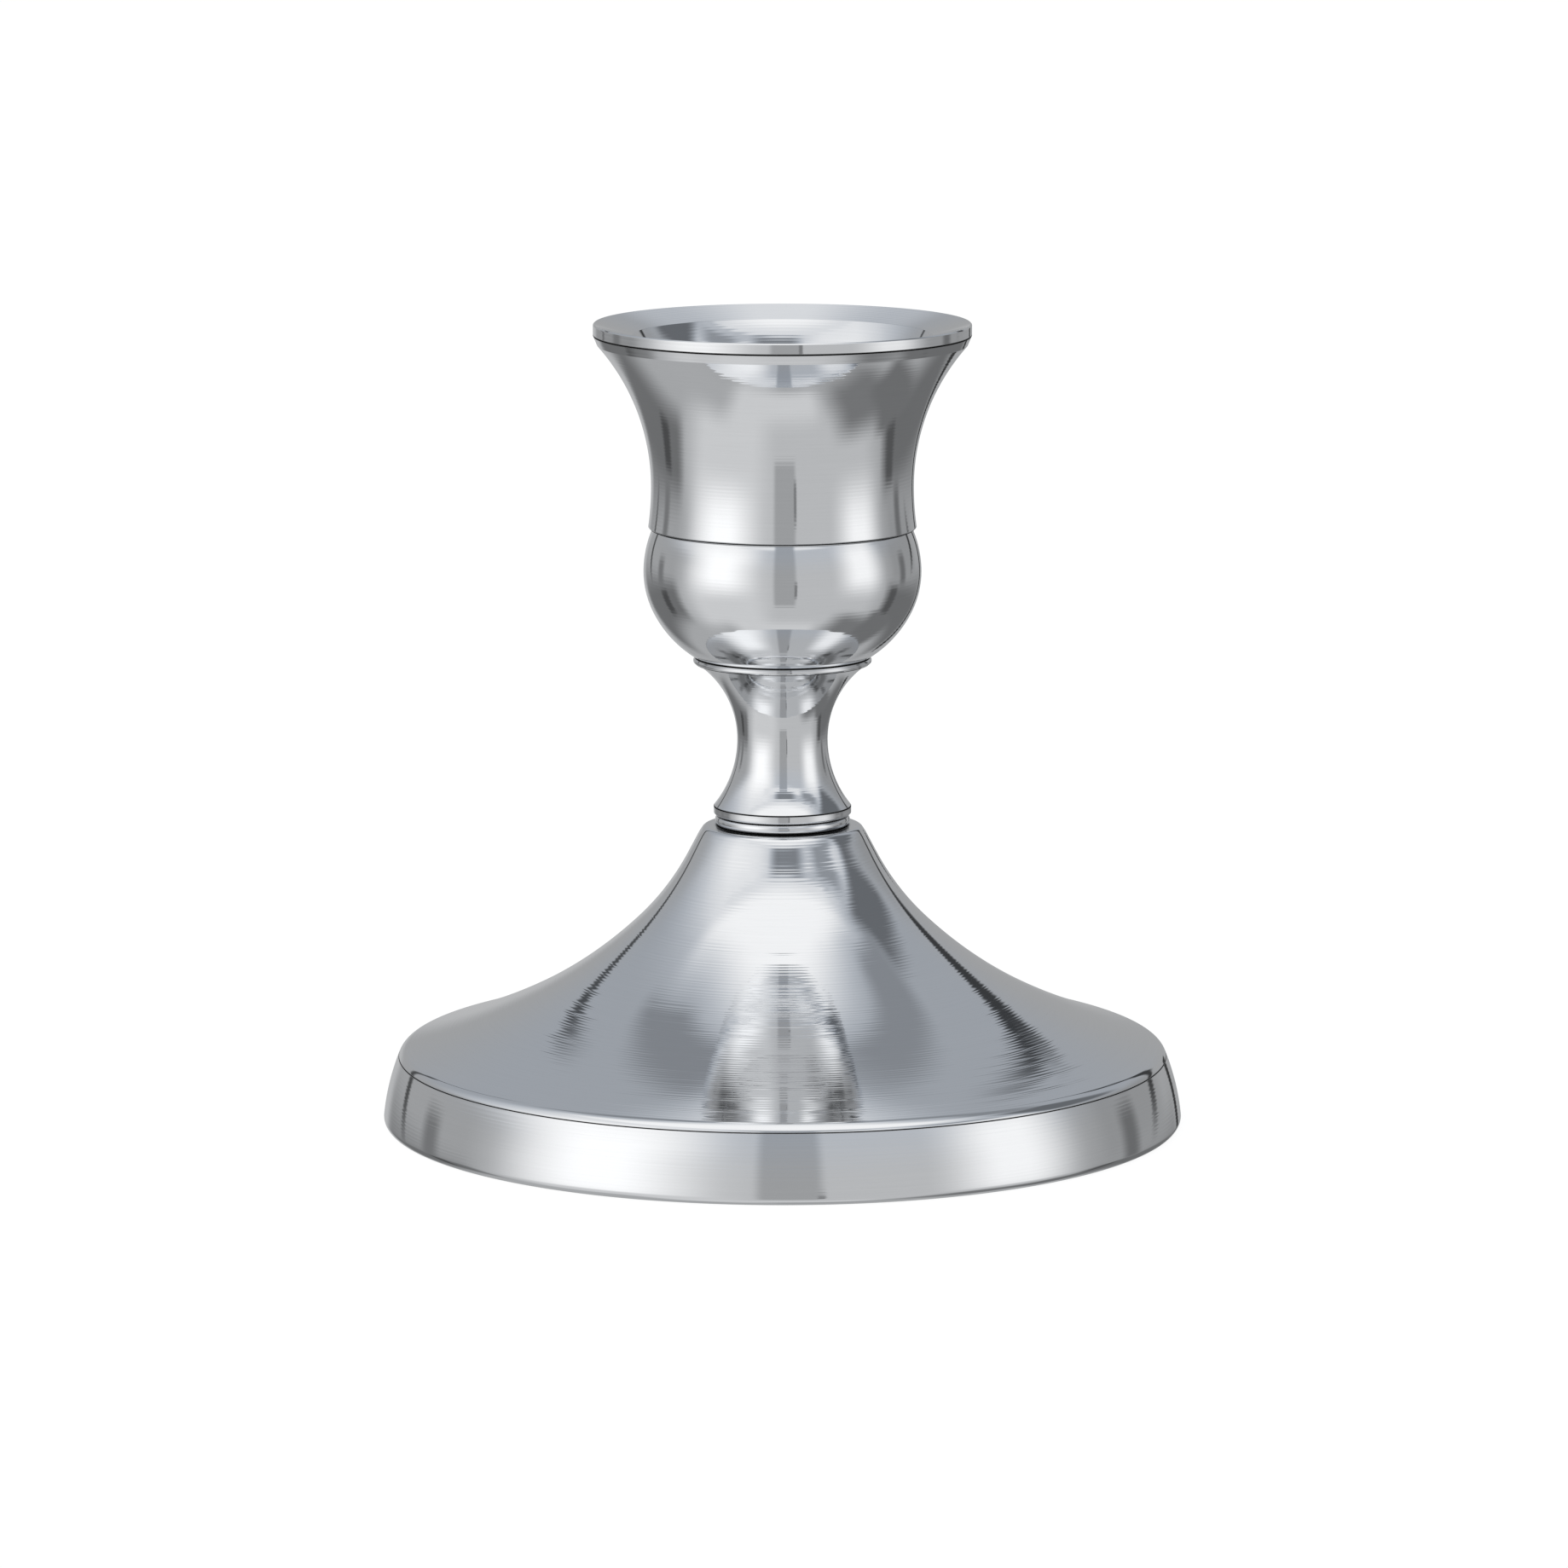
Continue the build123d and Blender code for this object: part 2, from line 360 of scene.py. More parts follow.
def tapered_cross(floor, top):
    """A cross-shaped block, narrower at the recess's floor."""
    arm, side = RECESS_LENGTH / 2, RECESS_WIDTH / 2
    vertices = []
    for z, scale in ((floor, RECESS_TAPER), (top, 1.0)):
        for quarter in range(4):
            turn = Matrix.Rotation(math.pi / 2 * quarter, 2)
            for corner in ((arm, -side), (arm, side), (side, side)):
                x, y = turn @ Vector(corner) * scale
                vertices.append((x * MM, y * MM, z * MM))
    count = len(vertices) // 2
    faces = [tuple(range(count))[::-1], tuple(range(count, 2 * count))]
    faces += [(i, (i + 1) % count, count + (i + 1) % count, count + i) for i in range(count)]
    mesh = bpy.data.meshes.new("cross")
    mesh.from_pydata(vertices, [], faces)
    if top < floor:
        mesh.flip_normals()
    return mesh


def cut_recess(piece, floor, face):
    """Cuts a cross recess into a screw's head, from its face to the recess's floor."""
    beyond = face + (face - floor) * CUTTER_EXCESS
    cutter = placed("cutter", tapered_cross(floor, beyond))
    boolean = piece.modifiers.new("recess", "BOOLEAN")
    boolean.object = cutter
    boolean.operation = "DIFFERENCE"
    boolean.solver = "EXACT"
    with bpy.context.temp_override(object=piece):
        bpy.ops.object.modifier_apply(modifier="recess")
    bpy.data.objects.remove(cutter)
    cleaned = bmesh.new()
    cleaned.from_mesh(piece.data)
    bmesh.ops.triangulate(cleaned, faces=[side for side in cleaned.faces if len(side.verts) > 4])
    bmesh.ops.dissolve_degenerate(cleaned, edges=cleaned.edges, dist=SLIVER * MM)
    cleaned.to_mesh(piece.data)
    cleaned.free()
    keep_sharp(piece)


# ---- pieces ----
def flat_section(node, inner_r, outer_r):
    """Section of a flat ring, between the heights of its CAD node."""
    bottom, top = low(node), high(node)
    return corners((inner_r, bottom), (outer_r, bottom), (outer_r, top), (inner_r, top))


def spun_base():
    """The bell: flange, lip, flared band, crease, hollow skirt and flat neck, of sheet metal."""
    outer = trail(
        (FLANGE_INNER_R, FOOT_Z), 0,
        [(FOOT_R - FLANGE_INNER_R, 0), *SHELL_BENDS, (CONE_LENGTH, 0)],
    )
    inner = offset_inward(outer, SHEET)
    inner = [point for point in inner if CLEARANCE_HOLE_R < point.x and point.y < NECK_Z - SHEET]
    neck = [outer[-1], *corners((NECK_EDGE_R, NECK_Z), (RING_FACE_R, NECK_Z))]
    edge = softened(neck, NECK_ROUND, closed=False)
    hole = corners((CLEARANCE_HOLE_R, NECK_Z), (CLEARANCE_HOLE_R, NECK_Z - SHEET))
    underside = corners((NECK_EDGE_R - SHEET / 2, NECK_Z - SHEET))
    return turned("spun_base", softened(outer[:-1] + edge + hole + underside + inner[::-1]))


def backing_plate():
    """Flat ring on the flange, behind the baize."""
    return turned("backing_plate", softened(flat_section("base_plate", ACCESS_HOLE_R, PLATE_R)))


def baize():
    """Ring of woven wool cloth with a napped face and slightly uneven cut edges."""
    section = flat_section("base_pad", ACCESS_HOLE_R, PAD_R)
    piece = turned("baize", softened(section, CLOTH_EDGE_R))
    for vertex in piece.data.vertices:
        place = vertex.co / MM
        if place.z < high("base_pad") - CLOTH_EDGE:
            vertex.co.z += NAP * noise.noise(place * NAP_SCALE) * MM
        edge = min(abs(place.xy.length - PAD_R), abs(place.xy.length - ACCESS_HOLE_R))
        if edge < CLOTH_EDGE:
            shrink = FRAY * (noise.noise(place * FRAY_SCALE) - 1) * MM
            outward = vertex.co.xy.normalized() * math.copysign(1, place.xy.length - PAD_R / 2)
            vertex.co.x += outward.x * shrink
            vertex.co.y += outward.y * shrink
    return piece


def plain_washer():
    """Washer against the underside of the neck."""
    section = flat_section("base_washer", CLEARANCE_HOLE_R, WASHER_R)
    return turned("plain_washer", softened(section, WASHER_EDGE_R), SCREW_SIDES)


def spring_washer():
    """Split ring of square wire, closed flat, its split leaning."""
    section = softened(
        flat_section("lock_washer", LOCK_WASHER_HOLE_R, LOCK_WASHER_R), LOCK_WASHER_EDGE_R,
    )
    middle = (low("lock_washer") + high("lock_washer")) / 2
    lean = math.tan(math.radians(LOCK_WASHER_LEAN))
    count = len(section)
    vertices, faces = [], []
    for side in range(SCREW_SIDES + 1):
        for point in section:
            gap = LOCK_WASHER_SPLIT / 2 / point.x
            angle = gap + (math.tau - 2 * gap) * side / SCREW_SIDES
            vertices.append(swept(point, angle + (point.y - middle) * lean / point.x))
        if side:
            start = (side - 1) * count
            for i in range(count):
                j = (i + 1) % count
                faces.append((start + i, start + count + i, start + count + j, start + j))
    faces.append(tuple(range(count)))
    faces.append(tuple(range(SCREW_SIDES * count, (SCREW_SIDES + 1) * count))[::-1])
    piece = mesh_piece("spring_washer", vertices, faces, [0.0] * len(vertices))
    keep_sharp(piece)
    return piece


def pan_head_screw():
    """Screw that stands up through the base, head down."""
    bottom = low("base_screw")
    seat = SCREW_TIP_Z - BASE_SCREW_LENGTH
    crown_r = (PAN_HEAD_R ** 2 + PAN_HEAD_CROWN ** 2) / (2 * PAN_HEAD_CROWN)
    crown_turn = math.degrees(math.asin(PAN_HEAD_R / crown_r))
    crown = trail((0, bottom), 0, [(crown_r, crown_turn)])
    outline = crown + corners((PAN_HEAD_R, seat), (THREAD_R, seat))
    head = softened(outline, PAN_HEAD_EDGE_R, closed=False)
    piece = screw("pan_head_screw", head, seat, SCREW_TIP_Z)
    cut_recess(piece, bottom + RECESS_DEPTH, bottom)
    return piece


def countersunk_screw():
    """Screw in the socket's floor, down into the stem."""
    tip = low("cup_screw")
    edge = SINK_TOP_Z - SINK_HEAD_EDGE
    neck = edge - (SINK_HEAD_R - THREAD_R)
    head = softened(corners(
        (0, SINK_TOP_Z), (SINK_HEAD_R, SINK_TOP_Z), (SINK_HEAD_R, edge), (THREAD_R, neck),
    ), SINK_HEAD_EDGE_R, closed=False)
    piece = screw("countersunk_screw", head, neck, tip)
    cut_recess(piece, SINK_TOP_Z - RECESS_DEPTH, SINK_TOP_Z)
    return piece


def spacer_ring():
    """Ring with a half-round edge between the stem and the base."""
    bottom = low("neck_ring")
    half = (BAND_Z - bottom) / 2
    bulge = RING_R - RING_FACE_R
    round_r = (half ** 2 + bulge ** 2) / (2 * bulge)
    spread = math.degrees(math.asin(half / round_r))
    bead = trail((RING_FACE_R, bottom), 90 - spread, [(round_r, 2 * spread)])
    hole = SPIGOT_R + FIT
    return turned("spacer_ring", softened(
        bead + corners((hole, BAND_Z), (hole, bottom)),
    ))


def waisted_stem():
    """Stem with a foot band, two coves that meet at the waist, and a thin flange under the bulb."""
    band_top = BAND_Z + BAND_EDGE + BAND_HEIGHT
    flange_low = BEAD_Z - FLANGE_THICK
    lower_turn = math.degrees(math.asin((WAIST_Z - band_top) / LOWER_COVE_R))
    upper_turn = math.degrees(math.asin((flange_low - WAIST_Z) / UPPER_COVE_R))
    coves = trail(
        (BAND_FOOT_R, band_top), 90 + lower_turn,
        [(LOWER_COVE_R, -lower_turn), (UPPER_COVE_R, -upper_turn)],
    )
    spigot_low = low("stem")
    spigot_top = high("stem")
    lower_end = corners(
        (TAPPED_R, spigot_low), (SPIGOT_R, spigot_low), (SPIGOT_R, BAND_Z),
        (BAND_FOOT_R - BAND_EDGE, BAND_Z), (BAND_FOOT_R, BAND_Z + BAND_EDGE),
    )
    upper_end = corners(
        (BEAD_R - FLANGE_EDGE, flange_low), (BEAD_R, flange_low + FLANGE_EDGE),
        (BEAD_R, BEAD_Z - FLANGE_EDGE), (BEAD_R - FLANGE_EDGE, BEAD_Z),
        (TOP_SPIGOT_R, BEAD_Z), (TOP_SPIGOT_R, spigot_top), (TAPPED_R, spigot_top),
    )
    return turned("waisted_stem", softened(lower_end + coves + upper_end))


def round_bulb():
    """Bowl whose shoulder stands just inside the cup's edge."""
    rise = trail((BULB_EDGE_R, BEAD_Z + BULB_EDGE), BULB_HEADING, BULB_BENDS)
    recess_r = BOSS_R + REGISTER_FIT
    spigot_r = TOP_SPIGOT_R + REGISTER_FIT
    spigot_z = BEAD_Z + TOP_SPIGOT_HEIGHT + FIT
    return turned("round_bulb", softened(
        rise + corners(
            (BULB_SHOULDER_R, SEAM_Z), (recess_r, SEAM_Z), (recess_r, BOSS_Z),
            (CLEARANCE_HOLE_R, BOSS_Z), (CLEARANCE_HOLE_R, spigot_z), (spigot_r, spigot_z),
            (spigot_r, BEAD_Z), (BULB_EDGE_R - BULB_EDGE, BEAD_Z),
        ),
    ))


def flared_cup():
    """Cup with a banded rim, a bevelled mouth and a socket with a countersink in its floor."""
    flare = trail((CUP_FOOT_R + CUP_EDGE, SEAM_Z + CUP_EDGE), CUP_HEADING, CUP_BENDS)
    inner_z = RIM_Z - RIM_INNER_DROP
    mouth_turn = math.degrees(math.acos(1 - (RIM_INNER_R - SOCKET_R) / MOUTH_R))
    mouth_z = inner_z - MOUTH_R * math.sin(math.radians(mouth_turn))
    mouth = trail((SOCKET_R, mouth_z), 90, [(MOUTH_R, -mouth_turn)])[::-1]
    floor_z = BOSS_Z + CUP_FLOOR
    sink_r = SINK_HEAD_R + FIT
    edge = SINK_TOP_Z - SINK_HEAD_EDGE
    rim = corners((RIM_R, RIM_Z - RIM_BAND), (RIM_R, RIM_Z - RIM_EDGE), (RIM_R - RIM_EDGE, RIM_Z))
    socket = corners(
        (SOCKET_R, floor_z), (sink_r, floor_z), (sink_r, edge),
        (CLEARANCE_HOLE_R, edge - (sink_r - CLEARANCE_HOLE_R)), (CLEARANCE_HOLE_R, BOSS_Z),
        (BOSS_R, BOSS_Z), (BOSS_R, SEAM_Z), (CUP_FOOT_R, SEAM_Z),
    )
    return turned("flared_cup", softened(flare + rim + mouth + socket))


# ---- finishes ----
FEED = 0.36                   # pitch of the turning marks, in mm
TURNED_DEPTH = 0.0021         # their depth on the turned pieces, in mm
SPUN_DEPTH = 0.0036           # their depth on the spun base
POLISH = 0.04                 # roughness of the clean metal
SCRATCH = 0.03                # height of random scratches against the turning marks
SCRATCHES = 7.0               # scratches in one pitch
DRIFT = 0.9                   # how fast the pitch wanders, per mm
DRIFT_TURNS = 9.0             # how far it wanders, in radians of the marks
STREAK = 3.0                  # streaks per mm of outline, against those round a piece
PATCH = 2.5                   # fineness of the duller patches
DULL = 0.975                  # their grey, as a share of the clean metal's
WORN = 1.6                    # their roughness, in the same way
# dark joints: dirt, and painted shade standing in for the shadow in crevices and contact lines
DIRT_AND_SHADE_CORE = 0.3               # share of a joint's reach that is quite dark
DIRT_AND_SHADE_ROUGHNESS = 0.7
ALUMINIUM = (0.948, 0.953, 0.960)
# colour of the dirt and painted shade at the joints
DIRT_AND_SHADE = (0.06, 0.055, 0.05)
ZINC_BLUE, ZINC_YELLOW = (0.75, 0.765, 0.79), (0.80, 0.79, 0.755)
STEEL, STAINED_STEEL = (0.62, 0.63, 0.65), (0.52, 0.50, 0.48)
DARK_WOOL, LIGHT_WOOL = (0.09, 0.09, 0.10), (0.26, 0.25, 0.26)
# heights of grain and fibres, in mm
ZINC_GRAIN = 0.004
STEEL_GRAIN = 0.006
WOOL_GRAIN = 0.12
# fineness of clouds, grain and fibres, per metre
CLOUD_SCALE = 350
ZINC_SCALE = 6000
BRUSH_SCALES = (40, 4000, 4000)
STAIN_SCALE = 90
FIBRE_SCALE = 2600
MOTTLE_SCALE = 160
WEAVE_SCALE = 300


# ---- node trees ----
class Graph:
    """Short ways to fill a node tree. A value is a socket or a number."""

    def __init__(self, tree):
        self.tree = tree
        tree.nodes.clear()

    def node(self, kind, **settings):
        made = self.tree.nodes.new(kind)
        for key, value in settings.items():
            setattr(made, key, value)
        return made

    def feed(self, value, socket):
        if isinstance(value, bpy.types.NodeSocket):
            self.tree.links.new(value, socket)
        else:
            socket.default_value = value

    def math(self, operation, *values):
        made = self.node("ShaderNodeMath", operation=operation)
        for value, socket in zip(values, made.inputs):
            self.feed(value, socket)
        return made.outputs[0]

    def step(self, value, start, end, low=0.0, high=1.0):
        """A smooth step from low to high as value goes from start to end."""
        made = self.node("ShaderNodeMapRange", interpolation_type="SMOOTHSTEP")
        for given, socket in zip((value, start, end, low, high), made.inputs):
            self.feed(given, socket)
        return made.outputs[0]

    def mix(self, factor, a, b):
        made = self.node("ShaderNodeMix")
        for given, socket in zip((factor, a, b), (made.inputs[0], made.inputs[2], made.inputs[3])):
            self.feed(given, socket)
        return made.outputs[0]

    def blend(self, factor, a, b):
        """Mix of two colours."""
        made = self.node("ShaderNodeMix", data_type="RGBA")
        for given, socket in zip((factor, a, b), (made.inputs[0], made.inputs[6], made.inputs[7])):
            self.feed(given, socket)
        return made.outputs[2]

    def noise(self, coordinate, scale, detail=2.0, roughness=0.5, dimensions="3D"):
        made = self.node("ShaderNodeTexNoise", noise_dimensions=dimensions)
        self.feed(coordinate, made.inputs["W" if dimensions == "1D" else "Vector"])
        made.inputs["Scale"].default_value = scale
        made.inputs["Detail"].default_value = detail
        made.inputs["Roughness"].default_value = roughness
        return made.outputs[0]


def new_material(name):
    """A material with a node tree, its graph and its Principled shader."""
    material = bpy.data.materials.new(name)
    material.use_nodes = True
    graph = Graph(material.node_tree)
    shader = graph.node("ShaderNodeBsdfPrincipled")
    output = graph.node("ShaderNodeOutputMaterial")
    graph.feed(shader.outputs[0], output.inputs[0])
    return material, graph, shader


def linear(colour):
    """Shader colour of a display colour."""
    return (*(channel ** GAMMA for channel in colour), 1.0)


def raised(graph, shader, height, depth):
    """Lets a height raise the shader's surface. The depth is what a height of 1 comes to, in mm."""
    bump = graph.node("ShaderNodeBump")
    bump.inputs["Strength"].default_value = 1.0
    bump.inputs["Distance"].default_value = depth * MM
    graph.feed(height, bump.inputs["Height"])
    graph.feed(bump.outputs[0], shader.inputs["Normal"])


def round_the_axis(graph):
    """Three places: (radius, 0, height) in metres, the distance along the outline in mm, and one
    whose noise runs round Z in streaks."""
    place = graph.node("ShaderNodeTexCoord").outputs["Object"]
    parts = graph.node("ShaderNodeSeparateXYZ")
    graph.feed(place, parts.inputs[0])
    x, y, z = parts.outputs
    squares = graph.math("ADD", graph.math("MULTIPLY", x, x), graph.math("MULTIPLY", y, y))
    radius = graph.math("SQRT", squares)
    spot = graph.node("ShaderNodeCombineXYZ")
    graph.feed(radius, spot.inputs[0])
    graph.feed(z, spot.inputs[2])
    along = graph.node("ShaderNodeAttribute", attribute_name="along").outputs["Fac"]
    streak = graph.node("ShaderNodeCombineXYZ")
    graph.feed(graph.math("DIVIDE", x, radius), streak.inputs[0])
    graph.feed(graph.math("DIVIDE", y, radius), streak.inputs[1])
    graph.feed(graph.math("MULTIPLY", along, STREAK), streak.inputs[2])
    return spot.outputs[0], along, streak.outputs[0]


def crevice_dirt_and_shade(graph, spot):
    """How much dirt and painted shade lie where the piece meets the next one, from 0 to 1."""
    dirt_and_shade = 0.0
    for radius, height, spread in JOINTS:
        core, edge = DIRT_AND_SHADE_CORE * spread * MM, spread * MM
        away = graph.node("ShaderNodeVectorMath", operation="DISTANCE")
        graph.feed(spot, away.inputs[0])
        away.inputs[1].default_value = (radius * MM, 0, height * MM)
        here = graph.step(away.outputs["Value"], core, edge, 1.0, 0.0)
        dirt_and_shade = graph.math("MAXIMUM", dirt_and_shade, here)
    return dirt_and_shade


def turned_metal(name, depth):
    """Bright aluminium with the fine rings of a tool, this deep in mm, and dirt with painted shade in
    its crevices.
    """
    material, graph, shader = new_material(name)
    spot, along, streaks = round_the_axis(graph)
    drift = graph.noise(along, DRIFT, dimensions="1D")
    turns = graph.math("MULTIPLY", along, math.tau / FEED)
    phase = graph.math("ADD", turns, graph.math("MULTIPLY", drift, DRIFT_TURNS))
    strength = graph.step(drift, 0.35, 0.7, low=0.3)
    ring = graph.math("MULTIPLY", graph.math("SINE", phase), strength)
    scratch = graph.noise(along, SCRATCHES / FEED, detail=3.0, dimensions="1D")
    patch = graph.noise(streaks, PATCH, detail=3.0)
    height = graph.math("ADD", ring, graph.math("MULTIPLY", scratch, SCRATCH))
    raised(graph, shader, height, depth / 2)
    # painted shade with dirt: the base colour darkens near each joint
    dirt_and_shade = crevice_dirt_and_shade(graph, spot)
    dull = linear([channel * DULL for channel in ALUMINIUM])
    clean = graph.blend(patch, linear(ALUMINIUM), dull)
    graph.feed(graph.blend(dirt_and_shade, clean, linear(DIRT_AND_SHADE)), shader.inputs["Base Color"])
    worn = graph.step(patch, 0.4, 0.8, POLISH, POLISH * WORN)
    graph.feed(graph.mix(dirt_and_shade, worn, DIRT_AND_SHADE_ROUGHNESS), shader.inputs["Roughness"])
    shader.inputs["Metallic"].default_value = 1.0
    return material


def zinc_plate(name):
    """Zinc-plated steel: cool grey with faint yellow and blue in the passivation, and a soft grain."""
    material, graph, shader = new_material(name)
    place = graph.node("ShaderNodeTexCoord").outputs["Object"]
    cloud = graph.noise(place, CLOUD_SCALE, detail=4.0)
    grain = graph.noise(place, ZINC_SCALE, detail=3.0)
    tint = graph.blend(graph.step(cloud, 0.35, 0.65), linear(ZINC_BLUE), linear(ZINC_YELLOW))
    graph.feed(tint, shader.inputs["Base Color"])
    graph.feed(graph.step(grain, 0.3, 0.7, low=0.22, high=0.38), shader.inputs["Roughness"])
    shader.inputs["Metallic"].default_value = 1.0
    raised(graph, shader, grain, ZINC_GRAIN)
    return material


def rolled_steel(name):
    """Cold-rolled sheet: a straight brushed grain along X under a thin film of oil."""
    material, graph, shader = new_material(name)
    place = graph.node("ShaderNodeTexCoord").outputs["Object"]
    mapping = graph.node("ShaderNodeMapping")
    mapping.inputs["Scale"].default_value = BRUSH_SCALES
    graph.feed(place, mapping.inputs[0])
    grain = graph.noise(mapping.outputs[0], 1.0, detail=4.0)
    stain = graph.noise(place, STAIN_SCALE, detail=3.0)
    tint = graph.blend(graph.step(stain, 0.35, 0.7), linear(STEEL), linear(STAINED_STEEL))
    graph.feed(tint, shader.inputs["Base Color"])
    graph.feed(graph.step(grain, 0.3, 0.7, low=0.28, high=0.5), shader.inputs["Roughness"])
    shader.inputs["Metallic"].default_value = 1.0
    raised(graph, shader, grain, STEEL_GRAIN)
    return material


def wool_baize(name):
    """Black baize: short matted wool fibres over a close weave."""
    material, graph, shader = new_material(name)
    place = graph.node("ShaderNodeTexCoord").outputs["Object"]
    fibre = graph.noise(place, FIBRE_SCALE, detail=5.0, roughness=0.65)
    mottle = graph.noise(place, MOTTLE_SCALE, detail=3.0)
    weave = graph.node("ShaderNodeTexWave", bands_direction="DIAGONAL")
    weave.inputs["Scale"].default_value = WEAVE_SCALE
    weave.inputs["Distortion"].default_value = 2.0
    graph.feed(place, weave.inputs[0])
    share = graph.math("ADD", graph.math("MULTIPLY", fibre, 0.7), graph.math("MULTIPLY", mottle, 0.3))
    wool = graph.blend(graph.step(share, 0.3, 0.7), linear(DARK_WOOL), linear(LIGHT_WOOL))
    graph.feed(wool, shader.inputs["Base Color"])
    shader.inputs["Roughness"].default_value = 0.95
    shader.inputs["Sheen Weight"].default_value = 0.5
    shader.inputs["Sheen Roughness"].default_value = 0.5
    threads = graph.math("MULTIPLY", weave.outputs[1], 0.3)
    raised(graph, shader, graph.math("ADD", fibre, threads), WOOL_GRAIN)
    return material


MATERIALS = {
    "turned_aluminium": turned_metal("turned_aluminium", TURNED_DEPTH),
    "spun_aluminium": turned_metal("spun_aluminium", SPUN_DEPTH),
    "zinc_steel": zinc_plate("zinc_steel"),
    "plate_steel": rolled_steel("plate_steel"),
    "baize": wool_baize("baize"),
}

PIECES = (
    (spun_base, "base_shell", "base", "spun_aluminium"),
    (backing_plate, "base_plate", "base", "plate_steel"),
    (baize, "base_pad", "base", "baize"),
    (plain_washer, "base_washer", "base", "zinc_steel"),
    (spring_washer, "lock_washer", "base", "zinc_steel"),
    (pan_head_screw, "base_screw", "base", "zinc_steel"),
    (spacer_ring, "neck_ring", "ring", "turned_aluminium"),
    (waisted_stem, "stem", "column", "turned_aluminium"),
    (round_bulb, "bulb", "column", "turned_aluminium"),
    (flared_cup, "candle_cup", "column", "turned_aluminium"),
    (countersunk_screw, "cup_screw", "column", "zinc_steel"),
)

for build, node, body, slot in PIECES:
    piece = build()
    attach(piece, body)
    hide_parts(node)
    piece.data.materials.append(MATERIALS[slot])

# ---- camera ----
CAMERA = Vector((0.00015, -0.7223, 0.1551))
CAMERA_PITCH = 9.59
LENS = 173.95

camera_data = bpy.data.cameras.new("camera")
camera_data.lens = LENS
camera_data.sensor_width = 36.0
camera_data.clip_start = 0.01
camera = placed("camera", camera_data)
camera.location = CAMERA
camera.rotation_euler = (math.radians(90 - CAMERA_PITCH), 0, 0)
bpy.context.scene.camera = camera

# ---- studio: soft boxes at both sides and above, grey walls between them, and dark flags ----
# Azimuths are from the camera's side, to the right.
OVERHEAD = ((-90, 0.60), (-60, 0.66), (0, 0.62), (40, 0.63), (90, 0.66))
# name: azimuth, half width, fade; lowest and highest elevation, fade; grey
CARDS = {
    "ceiling": (0, 180, 1, 84, 90, 24, 0.94),
    "table": (-38, 8, 34, -90, -70, 12, 0.73),
    "near_table": (-8, 36, 24, -64, -42, 10, 0.80),
    "left_glow": (-84, 0, 58, 26, 56, 16, 0.84),
    "front_left": (-40, 32, 34, -40, 44, 18, 0.80),
    "front_right": (36, 38, 28, -42, 44, 18, 0.73),
    "left_sheet": (-58, 14, 34, 26, 60, 14, 0.90),
    "left_box": (-54, 4, 36, 4, 18, 30, 1.03),
    "right_box": (70, 3, 27, 4, 18, 30, 0.98),
    "overhead_edge": (-6, 60, 40, 49, 70, 2, 0.87),
    "overhead": (-8, 56, 75, 58, 90, 8, 0.97),
    "strip": (8, 44, 14, 35, 40, 3, 0.89),
    "gap": (6, 12, 18, 42, 45.5, 4, 0.50),
    "gap_right": (62, 8, 18, 38, 42, 4, 0.57),
    "left_side": (-128, 22, 12, -28, -16, 16, 0.43),
    "right_side": (128, 24, 10, -30, -18, 16, 0.42),
    "right_wall": (124, 14, 12, 0, 12, 14, 0.57),
    "left_flag": (-119, 2, 5, -26, -17, 6, 0.30),
    "right_flag": (108, 2, 5, -30, -15, 6, 0.33),
    "upper_flag": (109, 12, 13, 29, 46, 8, 0.41),
    "upper_right": (138, 22, 16, 53, 59, 6, 0.53),
    "upper_left": (-154, 12, 10, 53, 60, 6, 0.52),
    "low_right": (84, 14, 28, -58, -46, 16, 0.46),
    "lower_right": (112, 12, 14, -50, -34, 6, 0.43),
    "right_notch": (119, 1, 6, -6, 3, 8, 0.42),
    "left_notch": (-121, 1, 6, -8, 0, 8, 0.46),
    "camera": (2, 7, 4, -26, 36, 5, 0.62),
    "backdrop": (-171, 7, 10, -16, -2, 10, 0.70),
    "high_back": (180, 2, 10, 30, 50, 10, 0.86),
}
# dark edges of the walls. name: azimuth at the horizon, lean, half width, fade; elevations, fade; grey
LINES = {
    "cable": (11, 0.0, 0.6, 1, -14, -4, 8, 0.48),
    "left_edge": (-142.5, -0.36, 0.6, 2.2, 0, 31, 12, 0.30),
    "right_edge": (138, 0.66, 0.8, 2.6, 4, 31, 12, 0.24),
    "right_wedge": (139, 0.66, 2.0, 3.4, 17, 26, 7, 0.24),
    "far_edge": (160, 0.0, 1.0, 2.0, -28, 0, 3, 0.22),
}
LIGHT_GAIN = 1.08             # light of a grey of 1
FLOOR_GAP = 0.01              # in mm, under the base
FLOOR_HALF = 6.0              # in metres
FLOOR_GLOW = 0.9
FLOOR_COLOUR = (0.2, 0.2, 0.2, 1)
COOL_FROM = (5, 34)           # elevations over which grey walls turn cooler
COOL_GREYS = (0.62, 1.0)      # walls this dark have the tint, and lights this bright have none
LOW_TINT = (0.988, 1.0, 1.015, 1)
HIGH_TINT = (0.94, 1.0, 1.088, 1)
WHITE = (1, 1, 1, 1)


def paint_card(graph, grey, azimuth, elevation, card):
    """Lays one card over the grey that is there."""
    centre, half, fade, lowest, highest, soft, level = card
    offset = graph.math("SUBTRACT", azimuth, centre)
    turn = graph.math("ABSOLUTE", graph.math("WRAP", offset, 180.0, -180.0))
    across = graph.step(turn, half, half + fade, 1.0, 0.0)
    above = graph.step(elevation, lowest - soft, lowest)
    below = graph.step(elevation, highest, highest + soft, 1.0, 0.0)
    mask = graph.math("MULTIPLY", across, graph.math("MULTIPLY", above, below))
    return graph.mix(mask, grey, level)


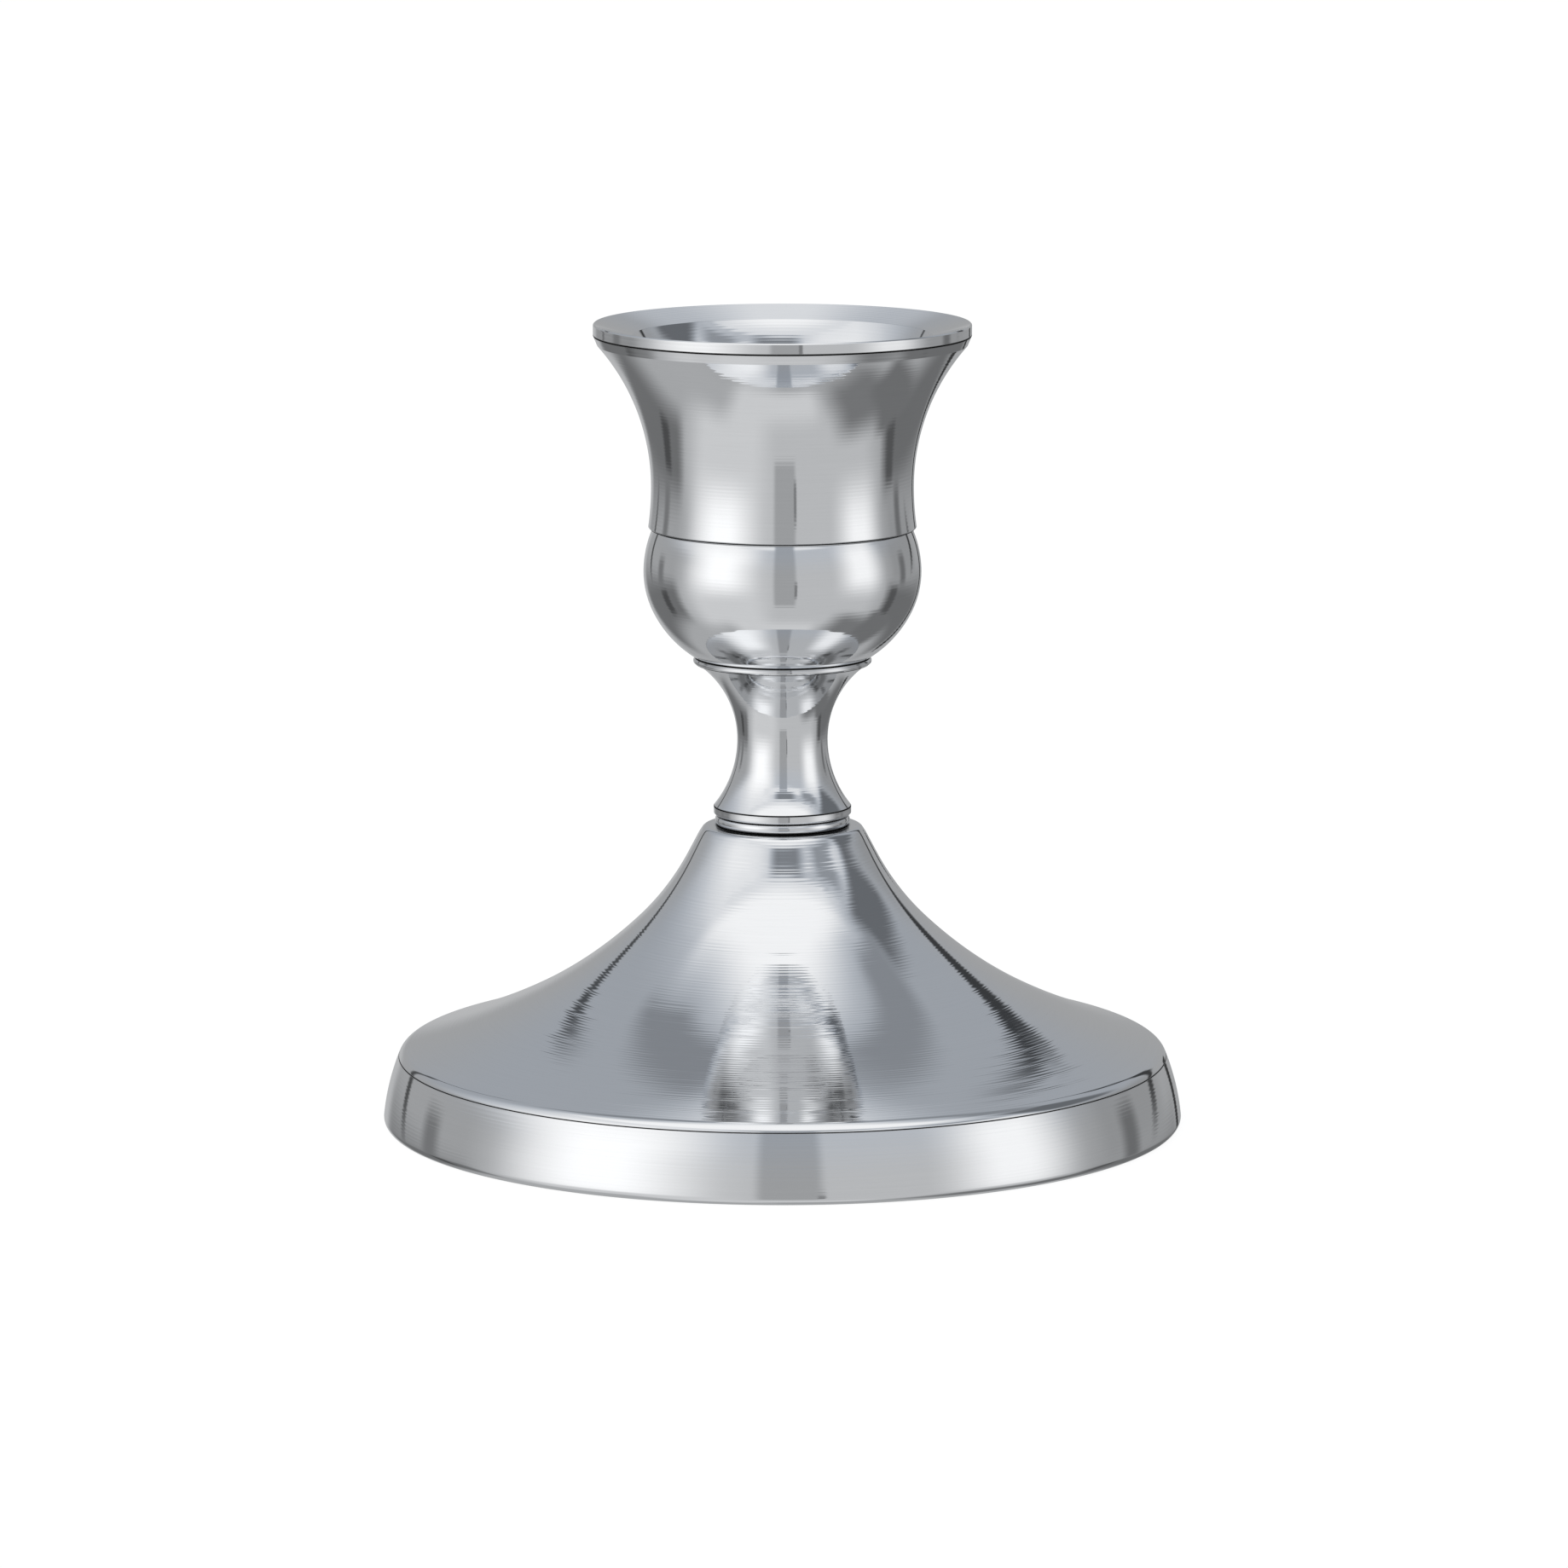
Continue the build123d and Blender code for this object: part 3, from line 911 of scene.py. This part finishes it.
def studio_light():
    """World light: the studio as the metal reflects it, and plain white behind the object."""
    world = bpy.data.worlds.new("studio")
    bpy.context.scene.world = world
    world.use_nodes = True
    graph = Graph(world.node_tree)
    toward = graph.node("ShaderNodeTexCoord").outputs["Generated"]
    parts = graph.node("ShaderNodeSeparateXYZ")
    graph.feed(toward, parts.inputs[0])
    x, y, z = parts.outputs
    azimuth = graph.math("DEGREES", graph.math("ARCTAN2", x, graph.math("MULTIPLY", y, -1.0)))
    elevation = graph.math("DEGREES", graph.math("ARCSINE", z))
    grey = OVERHEAD[0][1]
    for (start, _), (end, level) in zip(OVERHEAD, OVERHEAD[1:]):
        grey = graph.mix(graph.step(elevation, start, end), grey, level)
    for card in CARDS.values():
        grey = paint_card(graph, grey, azimuth, elevation, card)
    for centre, lean, *rest in LINES.values():
        leaning = graph.math("SUBTRACT", azimuth, graph.math("MULTIPLY", elevation, lean))
        grey = paint_card(graph, grey, leaning, elevation, (centre, *rest))
    light = graph.math("MULTIPLY", graph.math("POWER", grey, GAMMA), LIGHT_GAIN)
    seen = graph.node("ShaderNodeLightPath").outputs["Is Camera Ray"]
    background = graph.node("ShaderNodeBackground")
    graph.feed(graph.mix(seen, light, 1.0), background.inputs["Strength"])
    cool = graph.blend(graph.step(elevation, *COOL_FROM), LOW_TINT, HIGH_TINT)
    tint = graph.blend(graph.step(grey, *COOL_GREYS), cool, WHITE)
    graph.feed(graph.blend(seen, tint, WHITE), background.inputs["Color"])
    output = graph.node("ShaderNodeOutputWorld")
    graph.feed(background.outputs[0], output.inputs[0])
    world.cycles.sampling_method = "MANUAL"
    world.cycles.sample_map_resolution = 1024


def pale_floor():
    """White table, clear from below. The metal doesn't reflect it: the studio light has its grey."""
    mesh = bpy.data.meshes.new("floor")
    z = (FOOT_Z - FLOOR_GAP) * MM
    square = ((-1, -1), (1, -1), (1, 1), (-1, 1))
    mesh.from_pydata([(x * FLOOR_HALF, y * FLOOR_HALF, z) for x, y in square], [], [(0, 1, 2, 3)])
    floor = placed("floor", mesh)
    floor.visible_glossy = False
    material = bpy.data.materials.new("white_table")
    material.use_nodes = True
    graph = Graph(material.node_tree)
    glow = graph.node("ShaderNodeEmission")
    glow.inputs["Strength"].default_value = FLOOR_GLOW
    paper = graph.node("ShaderNodeBsdfDiffuse")
    paper.inputs["Color"].default_value = FLOOR_COLOUR
    both = graph.node("ShaderNodeAddShader")
    graph.feed(glow.outputs[0], both.inputs[0])
    graph.feed(paper.outputs[0], both.inputs[1])
    sided = graph.node("ShaderNodeMixShader")
    graph.feed(graph.node("ShaderNodeNewGeometry").outputs["Backfacing"], sided.inputs[0])
    graph.feed(both.outputs[0], sided.inputs[1])
    graph.feed(graph.node("ShaderNodeBsdfTransparent").outputs[0], sided.inputs[2])
    output = graph.node("ShaderNodeOutputMaterial")
    graph.feed(sided.outputs[0], output.inputs[0])
    mesh.materials.append(material)


studio_light()
pale_floor()
bpy.context.scene.view_settings.view_transform = "Standard"
